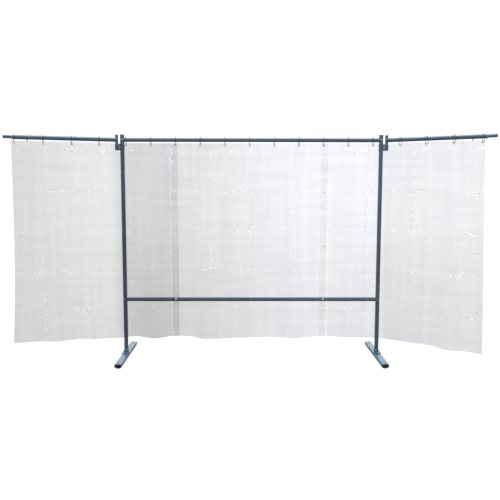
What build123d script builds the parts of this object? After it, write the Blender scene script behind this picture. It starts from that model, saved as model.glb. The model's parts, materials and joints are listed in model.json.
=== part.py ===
from build123d import *
import os
from collections import namedtuple
from math import cos, radians, sin

# Free-standing welding curtain screen: two posts on long feet, a top tube and a crossbar between
# them, and an arm hinged beside each post top. Three clear PVC sheets hang on rings from the top
# tube and the arms. Each outer sheet crosses its hinge.
#
# Frame: millimetres, +Z up, +X to the right, -Y is the front, where the sheets hang.
# The origin is on the floor, midway between the posts and in their plane.

os.makedirs("parts", exist_ok=True)

# ---------------------------------------------------------------- driving dimensions
# Frame tubes
TUBE_R = 19.0
TUBE_WALL = 1.5
BORE_R = TUBE_R - TUBE_WALL
POST_SPACING = 2350.0
POST_TOP = 2057.0
TOP_TUBE_Z = 2010.0
CROSSBAR_Z = 546.0
SWING_REST = {"left": 21.0, "right": 35.0}  # how far each arm is swung to the front, degrees

# Feet
FOOT_LENGTH = 800.0
FOOT_WIDTH = 60.0
FOOT_HEIGHT = 30.0
FOOT_WALL = 2.0
PAD_HEIGHT = 10.0
PAD_R = 18.0
PAD_INSET = 30.0
PAD_TAPER = 6.0
FOOT_CORNER_R = 4.0
PLUG_FLANGE = 3.0
PLUG_TONGUE = 15.0
PLUG_WALL = 4.0
PLUG_SLACK = 0.2
PLUG_ROUND = 1.5
PLATE_WIDTH = 72.0
PLATE_LENGTH = 130.0
PLATE_THICK = 6.0
PLATE_CORNER_R = 20.0
PLATE_BOLT_Y = 50.0
COLLAR_HEIGHT = 22.0
COLLAR_WALL = 4.0
COLLAR_CHAMFER = 3.0
THREAD_END = 3.0  # how high above the floor the screws and bolts of the feet end

# Hinges
HINGE_OFFSET = 50.0
KNUCKLE_R = 14.0
PIN_R = 8.0
PIN_CLEARANCE = 0.05
LOWER_KNUCKLE = (1915.0, 1972.0)
UPPER_KNUCKLE = (1974.5, 2052.0)
PIN_SPAN = (1918.0, 2040.0)
WASHER_THICK = 2.4
STRAP_WALL = 3.0
STRAP_HEIGHT = 25.0
STRAP_BASES = (1916.0, 1946.0)
STRAP_BOLT_AT = 27.5
STRAP_TAPER_AT_BOLT = 1.9  # how much nearer the strap's face is at its bolt than at the post
STRAP_BOLT_END = 6.0
KNUCKLE_CHAMFER = 0.8
PIN_CHAMFER = 1.5
WASHER_INSET = 0.5

# Arms and their pull-out ends
ARM_LENGTH = 886.0
TIP_REACH = 960.0
EXTENSION_R = 15.0
EXTENSION_LENGTH = 400.0
EXTENSION_RAISE = 1.9  # the thin tube sits high in the arm, so that rings slide over the step
BUSH_CLEARANCE = 0.05
BUSH_STARTS = (861.0, 700.0)
BUSH_LENGTH = 25.0
LOCK_SCREW_AT = 765.0

# Sheets
# The sheets are cut 1470 wide. The middle and left ones hang in slack waves and cover less.
MIDDLE_WIDTH = 1424.0
OUTER_WIDTH = {"left": 1450.0, "right": 1470.0}
SHEET_HEIGHT = 1800.0
SHEET_TOP = 1978.0
SHEET_THICK = 1.0
MIDDLE_FRONT = 22.5
OUTER_FRONT = 26.0
MIDDLE_CENTRE = -21.0
OVERLAP = 63.0
HINGE_GAP = 30.0

# Rings, eyelets and press studs
RING_R = 38.0
WIRE_R = 2.0
RING_FRONT = 11.5
RING_DROP = 12.5
EYELET_DROP = 17.0
EYELET_HOLE_R = 6.0
EYELET_BARREL_R = 7.0
EYELET_FLANGE_R = 11.0
EYELET_FLANGE = 1.0
EDGE_TO_RING = 42.0
OUTER_EDGE_TO_RING = 22.0
OUTER_PITCH_ON_FRAME = 225.0
OUTER_PITCH_ON_ARM = 238.0
RINGS_ON_FRAME = 3
RINGS_ON_ARM = 4
STUD_DROPS = (440.0, 940.0, 1440.0)
STUD_CAP_R = 7.5
STUD_CAP = 3.0
STUD_SHANK_R = 2.5
STUD_BACK_R = 6.0
STUD_BACK = 2.5
STUD_INSET = 45.0

# Fasteners: bolt radius, head radius across corners, head height
M8 = (4.0, 7.5, 5.3)
M6 = (3.0, 5.8, 4.0)
M8_NUT = 6.5
HOLE_SLACK = 0.2

# ---------------------------------------------------------------- derived places
FOOT_BASE = PAD_HEIGHT
FOOT_TOP = FOOT_BASE + FOOT_HEIGHT
PLATE_TOP = FOOT_TOP + PLATE_THICK
SHEET_MIDDLE_Z = SHEET_TOP - SHEET_HEIGHT / 2
RING_Z = TOP_TUBE_Z - RING_DROP
EYELET_Z = SHEET_TOP - EYELET_DROP
PIVOT_X = POST_SPACING / 2 + HINGE_OFFSET

Side = namedtuple("Side", "name post pivot outward")
SIDES = (
    Side("left", -POST_SPACING / 2, -PIVOT_X, -1),
    Side("right", POST_SPACING / 2, PIVOT_X, 1),
)

# A line that sheets hang along: where it starts, which way it runs and which way is its front.
Line = namedtuple("Line", "start along front")
FRAME_LINE = Line((0, 0), (1, 0), (0, -1))


def arm_line(side):
    """The hanging line of an arm at rest, from its pivot outwards."""
    swing = radians(SWING_REST[side.name])
    along = (side.outward * cos(swing), -sin(swing))
    front = (-side.outward * sin(swing), -cos(swing))
    return Line((side.pivot, 0), along, front)


def place(line, run, forward, z):
    """A point at a run along a line, so far in front of it, at a height."""
    return tuple(line.start[i] + line.along[i] * run + line.front[i] * forward for i in (0, 1)) + (z,)


def sheet_plane(line, run, forward, z):
    """Upright plane of a hanging sheet: local x runs along the line and local y is up."""
    along = Vector(*line.along, 0)
    return Plane(origin=place(line, run, forward, z), x_dir=along, z_dir=along.cross(Vector(0, 0, 1)))


def section_plane(line, run, forward, z):
    """Plane across a line: its normal runs along the line and local x is up."""
    return Plane(origin=place(line, run, forward, z), x_dir=(0, 0, 1), z_dir=(*line.along, 0))


def write(piece, name):
    """Labels a finished piece and writes its file."""
    piece.part.label = name
    export_step(piece.part, f"parts/{name}.step")


def bolt(plane, shaft, sizes, nut=0.0):
    """Hex bolt: the head stands on the plane, the shaft goes down through it, a nut may end it."""
    shaft_r, head_r, head_height = sizes
    with BuildPart() as piece:
        with BuildSketch(plane):
            RegularPolygon(head_r, 6)
        extrude(amount=head_height)
        with BuildSketch(plane):
            Circle(shaft_r)
        extrude(amount=-shaft)
        if nut:
            with BuildSketch(plane.offset(-nut)):
                RegularPolygon(head_r, 6)
            extrude(amount=-head_height)
    return piece.part


# ---------------------------------------------------------------- feet
def foot_tube(side):
    with BuildPart() as tube:
        with BuildSketch(Plane.XZ.offset(-FOOT_LENGTH / 2 + PLUG_FLANGE)):
            with Locations((side.post, FOOT_BASE + FOOT_HEIGHT / 2)):
                RectangleRounded(FOOT_WIDTH, FOOT_HEIGHT, FOOT_CORNER_R)
                offset(amount=-FOOT_WALL, mode=Mode.SUBTRACT)
        extrude(amount=FOOT_LENGTH - 2 * PLUG_FLANGE)
        with BuildSketch(Plane.XY.offset(FOOT_BASE)):
            for y in (PLATE_BOLT_Y, FOOT_LENGTH / 2 - PAD_INSET):
                with Locations((side.post, -y), (side.post, y)):
                    Circle(M8[0] + HOLE_SLACK)
        extrude(amount=FOOT_HEIGHT, mode=Mode.SUBTRACT)
    write(tube, f"{side.name}_foot_tube")


def foot_end_plugs(side):
    middle = (side.post, FOOT_BASE + FOOT_HEIGHT / 2)
    tongue_width = FOOT_WIDTH - 2 * (FOOT_WALL + PLUG_SLACK)
    tongue_height = FOOT_HEIGHT - 2 * (FOOT_WALL + PLUG_SLACK)
    with BuildPart() as plugs:
        for end in (-1, 1):
            seat = Plane.XZ.offset(end * (FOOT_LENGTH / 2 - PLUG_FLANGE))
            with BuildSketch(seat):
                with Locations(middle):
                    RectangleRounded(FOOT_WIDTH, FOOT_HEIGHT, FOOT_CORNER_R)
            extrude(amount=end * PLUG_FLANGE)
            with BuildSketch(seat):
                with Locations(middle):
                    RectangleRounded(tongue_width, tongue_height, FOOT_CORNER_R - FOOT_WALL)
                    Rectangle(
                        tongue_width - 2 * PLUG_WALL, tongue_height - 2 * PLUG_WALL, mode=Mode.SUBTRACT
                    )
            extrude(amount=-end * PLUG_TONGUE)
        rims = plugs.faces().filter_by(Axis.Y).sort_by(Axis.Y)
        fillet(rims[0].edges() + rims[-1].edges(), radius=PLUG_ROUND)
    write(plugs, f"{side.name}_foot_end_plugs")


def foot_pads(side):
    reach = FOOT_LENGTH / 2 - PAD_INSET
    with BuildPart() as pads:
        for y in (-reach, reach):
            with BuildSketch(Plane.XY):
                with Locations((side.post, y)):
                    Circle(PAD_R)
            extrude(amount=PAD_HEIGHT, taper=PAD_TAPER)
            with BuildSketch(Plane.XY.offset(THREAD_END)):
                with Locations((side.post, y)):
                    Circle(M8[0])
            extrude(amount=PAD_HEIGHT, mode=Mode.SUBTRACT)
    write(pads, f"{side.name}_foot_pads")


def pad_screws(side):
    reach = FOOT_LENGTH / 2 - PAD_INSET
    with BuildPart() as screws:
        for y in (-reach, reach):
            add(bolt(Plane((side.post, y, FOOT_TOP)), FOOT_TOP - THREAD_END, M8))
    write(screws, f"{side.name}_pad_screws")


def base_plate(side):
    with BuildPart() as plate:
        with BuildSketch(Plane.XY.offset(FOOT_TOP)):
            with Locations((side.post, 0)):
                RectangleRounded(PLATE_WIDTH, PLATE_LENGTH, PLATE_CORNER_R)
            with Locations((side.post, -PLATE_BOLT_Y), (side.post, PLATE_BOLT_Y)):
                Circle(M8[0] + HOLE_SLACK, mode=Mode.SUBTRACT)
        extrude(amount=PLATE_THICK)
        with BuildSketch(Plane.XY.offset(PLATE_TOP)):
            with Locations((side.post, 0)):
                Circle(TUBE_R + COLLAR_WALL)
                Circle(TUBE_R, mode=Mode.SUBTRACT)
        extrude(amount=COLLAR_HEIGHT)
        rim = plate.faces().sort_by(Axis.Z)[-1].outer_wire().edges()
        chamfer(rim, length=COLLAR_CHAMFER)
    write(plate, f"{side.name}_base_plate")


def base_bolts(side):
    with BuildPart() as bolts:
        for y in (-PLATE_BOLT_Y, PLATE_BOLT_Y):
            head = Plane((side.post, y, PLATE_TOP))
            add(bolt(head, PLATE_TOP - THREAD_END, M8, nut=PLATE_TOP - FOOT_BASE))
    write(bolts, f"{side.name}_base_bolts")


# ---------------------------------------------------------------- posts and tubes between them
CAP_DOME = 3.0
CAP_ROUND = 2.5
CAP_SLACK = 0.1
CAP_WALL = 2.4
CAP_TONGUE = 12.0
SPIGOT_R = BORE_R - 0.1
SPIGOT_NOSE_R = 14.0
SPIGOT_REACH = 99.0
SPIGOT_BORE_R = 9.0
SPIGOT_ROOT = 5.0
NOSE_DEPTH = 8.0
BUTTON_HEIGHT = 4.4
BUTTON_ROUND = 3.2
THREAD_PAST_NUT = 1.5
CUT_OVER = 1.0  # how far a cut runs past the face that it goes through
COPE_TRIM = 9.0  # the sharp tips of the round cut are ground off, clear of the bolt heads
TUBE_HEIGHTS = (CROSSBAR_Z, TOP_TUBE_Z)


def post(side):
    with BuildPart() as tube:
        with BuildSketch(Plane.XY.offset(PLATE_TOP)):
            with Locations((side.post, 0)):
                Circle(TUBE_R)
                Circle(BORE_R, mode=Mode.SUBTRACT)
        extrude(amount=POST_TOP - CAP_DOME - PLATE_TOP)
        for z in TUBE_HEIGHTS:
            with BuildSketch(Plane(origin=(side.post, 0, z), z_dir=(-side.outward, 0, 0))):
                Circle(SPIGOT_NOSE_R + HOLE_SLACK)
            extrude(amount=TUBE_R + CUT_OVER, mode=Mode.SUBTRACT)
            with BuildSketch(Plane(origin=(side.post, 0, z), z_dir=(0, 1, 0))):
                Circle(M8[0] + HOLE_SLACK)
            extrude(amount=TUBE_R + CUT_OVER, both=True, mode=Mode.SUBTRACT)
    write(tube, f"{side.name}_post")


def post_cap(side):
    with BuildPart() as cap:
        with BuildSketch(Plane.XY.offset(POST_TOP - CAP_DOME)):
            with Locations((side.post, 0)):
                Circle(TUBE_R)
        extrude(amount=CAP_DOME)
        fillet(cap.faces().sort_by(Axis.Z)[-1].edges(), radius=CAP_ROUND)
        with BuildSketch(Plane.XY.offset(POST_TOP - CAP_DOME)):
            with Locations((side.post, 0)):
                Circle(BORE_R - CAP_SLACK)
                Circle(BORE_R - CAP_SLACK - CAP_WALL, mode=Mode.SUBTRACT)
        extrude(amount=-CAP_TONGUE)
    write(cap, f"{side.name}_post_cap")


def cross_tube(z, name):
    """A tube between the posts, its ends cut to the posts' round."""
    with BuildPart() as tube:
        with BuildSketch(section_plane(FRAME_LINE, -POST_SPACING / 2 + COPE_TRIM, 0, z)):
            Circle(TUBE_R)
            Circle(BORE_R, mode=Mode.SUBTRACT)
        extrude(amount=POST_SPACING - 2 * COPE_TRIM)
        with Locations(*[(side.post, 0, z) for side in SIDES]):
            Cylinder(TUBE_R, 3 * TUBE_R, mode=Mode.SUBTRACT)
    write(tube, name)


def tube_spigots():
    """Turned spigots that join the tubes to the posts: each nose goes into the post."""
    with BuildPart() as spigots:
        for side in SIDES:
            for z in TUBE_HEIGHTS:
                across = Plane(origin=(side.post, 0, z), z_dir=(-side.outward, 0, 0))
                with BuildSketch(across):
                    Circle(SPIGOT_R)
                extrude(amount=SPIGOT_REACH)
                with Locations((side.post, 0, z)):
                    Cylinder(TUBE_R, 3 * TUBE_R, mode=Mode.SUBTRACT)
                with BuildSketch(across.offset(-NOSE_DEPTH)):
                    Circle(SPIGOT_NOSE_R)
                extrude(amount=NOSE_DEPTH + TUBE_R + SPIGOT_ROOT)
                with BuildSketch(across.offset(NOSE_DEPTH)):
                    Circle(SPIGOT_BORE_R)
                extrude(amount=SPIGOT_REACH, mode=Mode.SUBTRACT)
                with BuildSketch(Plane(origin=(side.post, 0, z), z_dir=(0, 1, 0))):
                    Circle(M8[0] + HOLE_SLACK)
                extrude(amount=TUBE_R, both=True, mode=Mode.SUBTRACT)
    write(spigots, "tube_spigots")


def spigot_bolts():
    """Round-headed bolts through the posts and the spigots' noses, head to the front."""
    with BuildPart() as bolts:
        for side in SIDES:
            for z in TUBE_HEIGHTS:
                front = Plane(origin=(side.post, -TUBE_R, z), z_dir=(0, -1, 0))
                with BuildSketch(front):
                    Circle(M8[1])
                extrude(amount=BUTTON_HEIGHT)
                fillet(bolts.faces().sort_by(Axis.Y)[0].edges(), radius=BUTTON_ROUND)
                with BuildSketch(front):
                    Circle(M8[0])
                extrude(amount=-2 * TUBE_R - M8_NUT - THREAD_PAST_NUT)
                with BuildSketch(front.offset(-2 * TUBE_R)):
                    RegularPolygon(M8[1], 6)
                extrude(amount=-M8_NUT)
    write(bolts, "spigot_bolts")


# ---------------------------------------------------------------- hinges, fixed side
def strap_outline(side, grow):
    """The post's and the knuckle's round, joined by their two tangents."""
    with Locations((side.post, 0)):
        Circle(TUBE_R + grow)
    with Locations((side.pivot, 0)):
        Circle(KNUCKLE_R + grow)
    make_hull()


def hinge_straps(side):
    with BuildSketch(Plane.XY.offset(STRAP_BASES[0])) as lower_outer:
        strap_outline(side, STRAP_WALL)
    with BuildSketch(Plane.XY.offset(STRAP_BASES[0])) as lower_inner:
        strap_outline(side, 0)
    with BuildPart() as straps:
        for base in STRAP_BASES:
            with Locations((0, 0, base - STRAP_BASES[0])):
                add(extrude(lower_outer.sketch, STRAP_HEIGHT, mode=Mode.PRIVATE))
                add(extrude(lower_inner.sketch, STRAP_HEIGHT, mode=Mode.PRIVATE), mode=Mode.SUBTRACT)
            middle = base + STRAP_HEIGHT / 2
            at = side.post + side.outward * STRAP_BOLT_AT
            with BuildSketch(Plane(origin=(at, 0, middle), z_dir=(0, 1, 0))):
                Circle(M6[0] + HOLE_SLACK)
            extrude(amount=TUBE_R + STRAP_WALL, both=True, mode=Mode.SUBTRACT)
    write(straps, f"{side.name}_hinge_straps")


def strap_bolts(side):
    seat = TUBE_R + STRAP_WALL - STRAP_TAPER_AT_BOLT
    at = side.post + side.outward * STRAP_BOLT_AT
    with BuildPart() as bolts:
        for base in STRAP_BASES:
            front = Plane(origin=(at, -seat, base + STRAP_HEIGHT / 2), z_dir=(0, -1, 0))
            add(bolt(front, 2 * seat + STRAP_BOLT_END, M6, nut=2 * seat))
    write(bolts, f"{side.name}_strap_bolts")


def knuckle(side, span, bore_r, name):
    with BuildPart() as barrel:
        with BuildSketch(Plane.XY.offset(span[0])):
            with Locations((side.pivot, 0)):
                Circle(KNUCKLE_R)
                Circle(bore_r, mode=Mode.SUBTRACT)
        extrude(amount=span[1] - span[0])
        chamfer(barrel.faces().sort_by(Axis.Z)[0].outer_wire().edges(), length=KNUCKLE_CHAMFER)
    write(barrel, name)


def hinge_pin(side):
    with BuildPart() as pin:
        with BuildSketch(Plane.XY.offset(PIN_SPAN[0])):
            with Locations((side.pivot, 0)):
                Circle(PIN_R)
        extrude(amount=PIN_SPAN[1] - PIN_SPAN[0])
        chamfer(pin.faces().sort_by(Axis.Z)[-1].edges(), length=PIN_CHAMFER)
    write(pin, f"{side.name}_hinge_pin")


def thrust_washer(side):
    with BuildPart() as washer:
        with BuildSketch(Plane.XY.offset(LOWER_KNUCKLE[1])):
            with Locations((side.pivot, 0)):
                Circle(KNUCKLE_R - WASHER_INSET)
                Circle(PIN_R + CAP_SLACK, mode=Mode.SUBTRACT)
        extrude(amount=WASHER_THICK)
    write(washer, f"{side.name}_thrust_washer")


# ---------------------------------------------------------------- arms
KNUCKLE_CAP_TONGUE = 8.0
END_BUSH = 2.0
NUT_HEIGHT = 5.0
SCREW_SHOWS = 8.0
SCREW_GAP = 0.3


def knuckle_cap(side):
    with BuildPart() as cap:
        with BuildSketch(Plane.XY.offset(UPPER_KNUCKLE[1])):
            with Locations((side.pivot, 0)):
                Circle(KNUCKLE_R)
        extrude(amount=CAP_DOME)
        fillet(cap.faces().sort_by(Axis.Z)[-1].edges(), radius=CAP_ROUND)
        with BuildSketch(Plane.XY.offset(UPPER_KNUCKLE[1])):
            with Locations((side.pivot, 0)):
                Circle(PIN_R)
        extrude(amount=-KNUCKLE_CAP_TONGUE)
    write(cap, f"{side.name}_knuckle_cap")


def arm_tube(side):
    line = arm_line(side)
    with BuildPart() as tube:
        with BuildSketch(section_plane(line, 0, 0, TOP_TUBE_Z)):
            Circle(TUBE_R)
            Circle(BORE_R, mode=Mode.SUBTRACT)
        extrude(amount=ARM_LENGTH)
        with Locations((side.pivot, 0, TOP_TUBE_Z)):
            Cylinder(KNUCKLE_R, 3 * TUBE_R, mode=Mode.SUBTRACT)
        with BuildSketch(Plane(place(line, LOCK_SCREW_AT, 0, TOP_TUBE_Z))):
            Circle(M6[0] + HOLE_SLACK)
        extrude(amount=-TUBE_R - CUT_OVER, mode=Mode.SUBTRACT)
        keep = tube.solids().sort_by(SortBy.VOLUME)[-1]
    with BuildPart() as whole:
        add(keep)
    write(whole, f"{side.name}_arm_tube")


def arm_bushes(side):
    """Plastic bushes pressed into the arm, bored off centre, that the thin tube slides in."""
    line = arm_line(side)
    with BuildPart() as bushes:
        for start in BUSH_STARTS:
            with BuildSketch(section_plane(line, start, 0, TOP_TUBE_Z)):
                Circle(BORE_R)
                with Locations((EXTENSION_RAISE, 0)):
                    Circle(EXTENSION_R + BUSH_CLEARANCE, mode=Mode.SUBTRACT)
            extrude(amount=BUSH_LENGTH)
        with BuildSketch(section_plane(line, ARM_LENGTH, 0, TOP_TUBE_Z)):
            Circle(TUBE_R)
            with Locations((EXTENSION_RAISE, 0)):
                Circle(EXTENSION_R + BUSH_CLEARANCE, mode=Mode.SUBTRACT)
        extrude(amount=END_BUSH)
    write(bushes, f"{side.name}_arm_bushes")


def lock_screw(side):
    """Hex screw in a welded nut under the arm: it presses the thin tube up and holds it."""
    line = arm_line(side)
    under = TOP_TUBE_Z - TUBE_R
    tip = TOP_TUBE_Z + EXTENSION_RAISE - EXTENSION_R - SCREW_GAP
    with BuildPart() as screw:
        with BuildSketch(Plane(place(line, LOCK_SCREW_AT, 0, under))):
            RegularPolygon(M8[1], 6)
        extrude(amount=-NUT_HEIGHT)
        with BuildSketch(Plane(place(line, LOCK_SCREW_AT, 0, tip))):
            Circle(M6[0])
        extrude(amount=under - tip - SCREW_SHOWS)
        with BuildSketch(Plane(place(line, LOCK_SCREW_AT, 0, under - SCREW_SHOWS))):
            RegularPolygon(M6[1], 6)
        extrude(amount=-M6[2])
    write(screw, f"{side.name}_lock_screw")


# ---------------------------------------------------------------- pull-out ends
EXTENSION_WALL = 1.5
EXTENSION_CAP = 3.0
EXTENSION_TONGUE = 10.0


def extension_tube(side):
    line = arm_line(side)
    start = TIP_REACH - EXTENSION_CAP - EXTENSION_LENGTH
    with BuildPart() as tube:
        with BuildSketch(section_plane(line, start, 0, TOP_TUBE_Z + EXTENSION_RAISE)):
            Circle(EXTENSION_R)
            Circle(EXTENSION_R - EXTENSION_WALL, mode=Mode.SUBTRACT)
        extrude(amount=EXTENSION_LENGTH)
    write(tube, f"{side.name}_extension_tube")


def extension_cap(side):
    line = arm_line(side)
    seat = section_plane(line, TIP_REACH - EXTENSION_CAP, 0, TOP_TUBE_Z + EXTENSION_RAISE)
    with BuildPart() as cap:
        with BuildSketch(seat):
            Circle(EXTENSION_R)
        extrude(amount=EXTENSION_CAP)
        tip = cap.faces().sort_by(lambda face: face.center().dot(seat.z_dir))[-1]
        fillet(tip.edges(), radius=CAP_ROUND)
        with BuildSketch(seat):
            Circle(EXTENSION_R - EXTENSION_WALL - CAP_SLACK)
            Circle(EXTENSION_R - EXTENSION_WALL - CAP_SLACK - CAP_WALL, mode=Mode.SUBTRACT)
        extrude(amount=-EXTENSION_TONGUE)
    write(cap, f"{side.name}_extension_cap")


# ---------------------------------------------------------------- rings along the lines
MIDDLE_EDGES = (MIDDLE_CENTRE - MIDDLE_WIDTH / 2, MIDDLE_CENTRE + MIDDLE_WIDTH / 2)
MIDDLE_RINGS = RINGS_ON_FRAME + RINGS_ON_ARM
MIDDLE_PITCH = (MIDDLE_WIDTH - 2 * EDGE_TO_RING) / (MIDDLE_RINGS - 1)
MIDDLE_RUNS = [MIDDLE_EDGES[0] + EDGE_TO_RING + i * MIDDLE_PITCH for i in range(MIDDLE_RINGS)]


def outer_layout(side):
    """Where an outer sheet hangs: its inner edge and rings on the frame, then those on its arm.

    Runs on the frame line are X, and runs on the arm line start at the pivot. The first ring is
    the middle sheet's last one, and holds both sheets.
    """
    middle_edge = MIDDLE_EDGES[0] if side.outward < 0 else MIDDLE_EDGES[1]
    inner_edge = middle_edge - side.outward * OVERLAP
    outer_edge = OUTER_WIDTH[side.name] - abs(side.pivot - inner_edge)
    first_ring = middle_edge - side.outward * EDGE_TO_RING
    on_frame = [first_ring + side.outward * i * OUTER_PITCH_ON_FRAME for i in range(RINGS_ON_FRAME)]
    last_ring = outer_edge - OUTER_EDGE_TO_RING
    on_arm = [last_ring - i * OUTER_PITCH_ON_ARM for i in range(RINGS_ON_ARM)]
    return inner_edge, outer_edge, on_frame, on_arm


LAYOUT = {side.name: outer_layout(side) for side in SIDES}
for name, (inner_edge, outer_edge, on_frame, on_arm) in LAYOUT.items():
    print(name, "sheet from", round(inner_edge), "to", round(outer_edge), "past the pivot")
    print("  rings on the frame", [round(x) for x in on_frame], "and on the arm", [round(x) for x in on_arm])


def sheet(line, run_from, run_to, forward, eyelets, studs, name):
    """A hanging sheet as a flat plate with its eyelet and stud holes."""
    middle = (run_from + run_to) / 2
    with BuildPart() as plate:
        with BuildSketch(sheet_plane(line, middle, forward, SHEET_MIDDLE_Z)):
            Rectangle(abs(run_to - run_from), SHEET_HEIGHT)
            with Locations(*[(run - middle, EYELET_Z - SHEET_MIDDLE_Z) for run in eyelets]):
                Circle(EYELET_BARREL_R, mode=Mode.SUBTRACT)
            if studs:
                with Locations(
                    *[(run - middle, SHEET_HEIGHT / 2 - drop) for run in studs for drop in STUD_DROPS]
                ):
                    Circle(STUD_SHANK_R, mode=Mode.SUBTRACT)
        extrude(amount=SHEET_THICK / 2, both=True)
    write(plate, name)


def rings(line, runs, name):
    with BuildPart() as hoops:
        with Locations(*[section_plane(line, run, RING_FRONT, RING_Z) for run in runs]):
            Torus(RING_R, WIRE_R)
    write(hoops, name)


def eyelets(places, name):
    """Pressed eyelets: a barrel through the sheet with a flange on each face."""
    with BuildPart() as rims:
        for line, run, forward in places:
            face = sheet_plane(line, run, forward, EYELET_Z)
            with BuildSketch(face):
                Circle(EYELET_BARREL_R)
                Circle(EYELET_HOLE_R, mode=Mode.SUBTRACT)
            extrude(amount=SHEET_THICK / 2, both=True)
            for flip in (-1, 1):
                with BuildSketch(face.offset(flip * SHEET_THICK / 2)):
                    Circle(EYELET_FLANGE_R)
                    Circle(EYELET_HOLE_R, mode=Mode.SUBTRACT)
                extrude(amount=flip * EYELET_FLANGE)
    write(rims, name)


def press_studs(places, name):
    """Press studs: a cap on the front, a shank through the sheets and a socket behind."""
    with BuildPart() as studs:
        for line, run, front_face, back_face in places:
            for drop in STUD_DROPS:
                z = SHEET_TOP - drop
                middle = sheet_plane(line, run, 0, z)
                facing = Vector(*line.front, 0)
                for start, length, radius in (
                    (front_face, STUD_CAP, STUD_CAP_R),
                    (back_face, front_face - back_face, STUD_SHANK_R),
                    (back_face - STUD_BACK, STUD_BACK, STUD_BACK_R),
                ):
                    origin = middle.origin + facing * start
                    with BuildSketch(Plane(origin=origin, x_dir=(0, 0, 1), z_dir=facing)):
                        Circle(radius)
                    extrude(amount=length)
    write(studs, name)


# ---------------------------------------------------------------- making everything
for side in SIDES:
    foot_tube(side)
    foot_end_plugs(side)
    foot_pads(side)
    pad_screws(side)
    base_plate(side)
    base_bolts(side)
    post(side)
    post_cap(side)
    hinge_straps(side)
    strap_bolts(side)
    knuckle(side, LOWER_KNUCKLE, PIN_R, f"{side.name}_lower_knuckle")
    knuckle(side, UPPER_KNUCKLE, PIN_R + PIN_CLEARANCE, f"{side.name}_upper_knuckle")
    hinge_pin(side)
    thrust_washer(side)
    knuckle_cap(side)
    arm_tube(side)
    arm_bushes(side)
    lock_screw(side)
    extension_tube(side)
    extension_cap(side)

cross_tube(TOP_TUBE_Z, "top_tube")
cross_tube(CROSSBAR_Z, "crossbar")
tube_spigots()
spigot_bolts()

half = SHEET_THICK / 2
overlap_runs = [MIDDLE_EDGES[0] + OVERLAP / 2, MIDDLE_EDGES[1] - OVERLAP / 2]
sheet(FRAME_LINE, *MIDDLE_EDGES, MIDDLE_FRONT, MIDDLE_RUNS, overlap_runs, "middle_sheet")
frame_eyelets = [(FRAME_LINE, run, MIDDLE_FRONT) for run in MIDDLE_RUNS]
frame_rings = list(MIDDLE_RUNS)
for side, overlap_run in zip(SIDES, overlap_runs):
    inner_edge, outer_edge, on_frame, on_arm = LAYOUT[side.name]
    line = arm_line(side)
    hinge_edge = side.pivot - side.outward * HINGE_GAP
    stud_run = outer_edge - STUD_INSET
    frame_sheet = f"{side.name}_sheet_on_frame"
    sheet(FRAME_LINE, inner_edge, hinge_edge, OUTER_FRONT, on_frame, [overlap_run], frame_sheet)
    sheet(line, HINGE_GAP, outer_edge, OUTER_FRONT, on_arm, [stud_run], f"{side.name}_sheet_on_arm")
    rings(line, on_arm, f"{side.name}_arm_rings")
    eyelets([(line, run, OUTER_FRONT) for run in on_arm], f"{side.name}_arm_eyelets")
    press_studs([(line, stud_run, OUTER_FRONT + half, OUTER_FRONT - half)], f"{side.name}_arm_studs")
    frame_eyelets += [(FRAME_LINE, run, OUTER_FRONT) for run in on_frame]
    frame_rings += on_frame[1:]
rings(FRAME_LINE, frame_rings, "frame_rings")
eyelets(frame_eyelets, "frame_eyelets")
press_studs(
    [(FRAME_LINE, run, OUTER_FRONT + half, MIDDLE_FRONT - half) for run in overlap_runs], "frame_studs"
)
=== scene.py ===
# %% [markdown]
# # A welding curtain screen
#
# Two posts on long feet carry a top tube and a crossbar, and a hinged arm swings from the top of
# each post. Three sheets of clear PVC film hang on rings, and close the frame and both arms.
# The steel frame comes ready made from the CAD model. What is left for Blender is the film, the
# small metalware that it hangs by, and the finish of every surface.
#
# The first lines load the CAD model as a fixed frame. Everything made below takes its place from
# it, in metres, with Z up and the front towards -Y.

# %% Load the frame
import json
from math import asin, cos, exp, pi, radians, sin, tan

import bmesh
import bpy
from mathutils import Matrix, Vector, noise


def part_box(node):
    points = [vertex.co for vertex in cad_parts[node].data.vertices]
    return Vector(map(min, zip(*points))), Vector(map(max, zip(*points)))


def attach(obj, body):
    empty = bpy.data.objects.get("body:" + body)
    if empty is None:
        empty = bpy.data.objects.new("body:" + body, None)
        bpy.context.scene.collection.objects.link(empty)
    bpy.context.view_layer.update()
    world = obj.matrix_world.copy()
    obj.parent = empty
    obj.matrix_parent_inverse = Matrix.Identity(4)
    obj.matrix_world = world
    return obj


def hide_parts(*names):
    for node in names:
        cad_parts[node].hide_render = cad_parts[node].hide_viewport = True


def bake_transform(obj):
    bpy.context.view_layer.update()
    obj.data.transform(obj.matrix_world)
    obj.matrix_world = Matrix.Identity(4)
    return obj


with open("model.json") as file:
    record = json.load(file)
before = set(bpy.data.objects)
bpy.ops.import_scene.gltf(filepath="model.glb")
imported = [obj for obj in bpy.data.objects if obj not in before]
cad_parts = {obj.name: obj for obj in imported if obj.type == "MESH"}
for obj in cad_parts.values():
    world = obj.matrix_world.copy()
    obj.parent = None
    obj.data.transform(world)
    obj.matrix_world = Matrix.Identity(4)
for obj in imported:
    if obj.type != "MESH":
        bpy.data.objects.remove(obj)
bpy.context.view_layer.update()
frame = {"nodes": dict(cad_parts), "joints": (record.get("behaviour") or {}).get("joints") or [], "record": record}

nodes = frame["nodes"]
joints = {joint["name"]: joint for joint in frame["joints"]}

# %% [markdown]
# ## Two helpers for every material
#
# Colours are picked as sRGB hex, the way a colour chart gives them, and shaders want linear
# light, so one function turns the one into the other. A second function adds a node with its
# settings, its input values and its links, so that a material reads as a short list of nodes.

# %% Colour and node helpers
MM = 0.001


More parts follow.
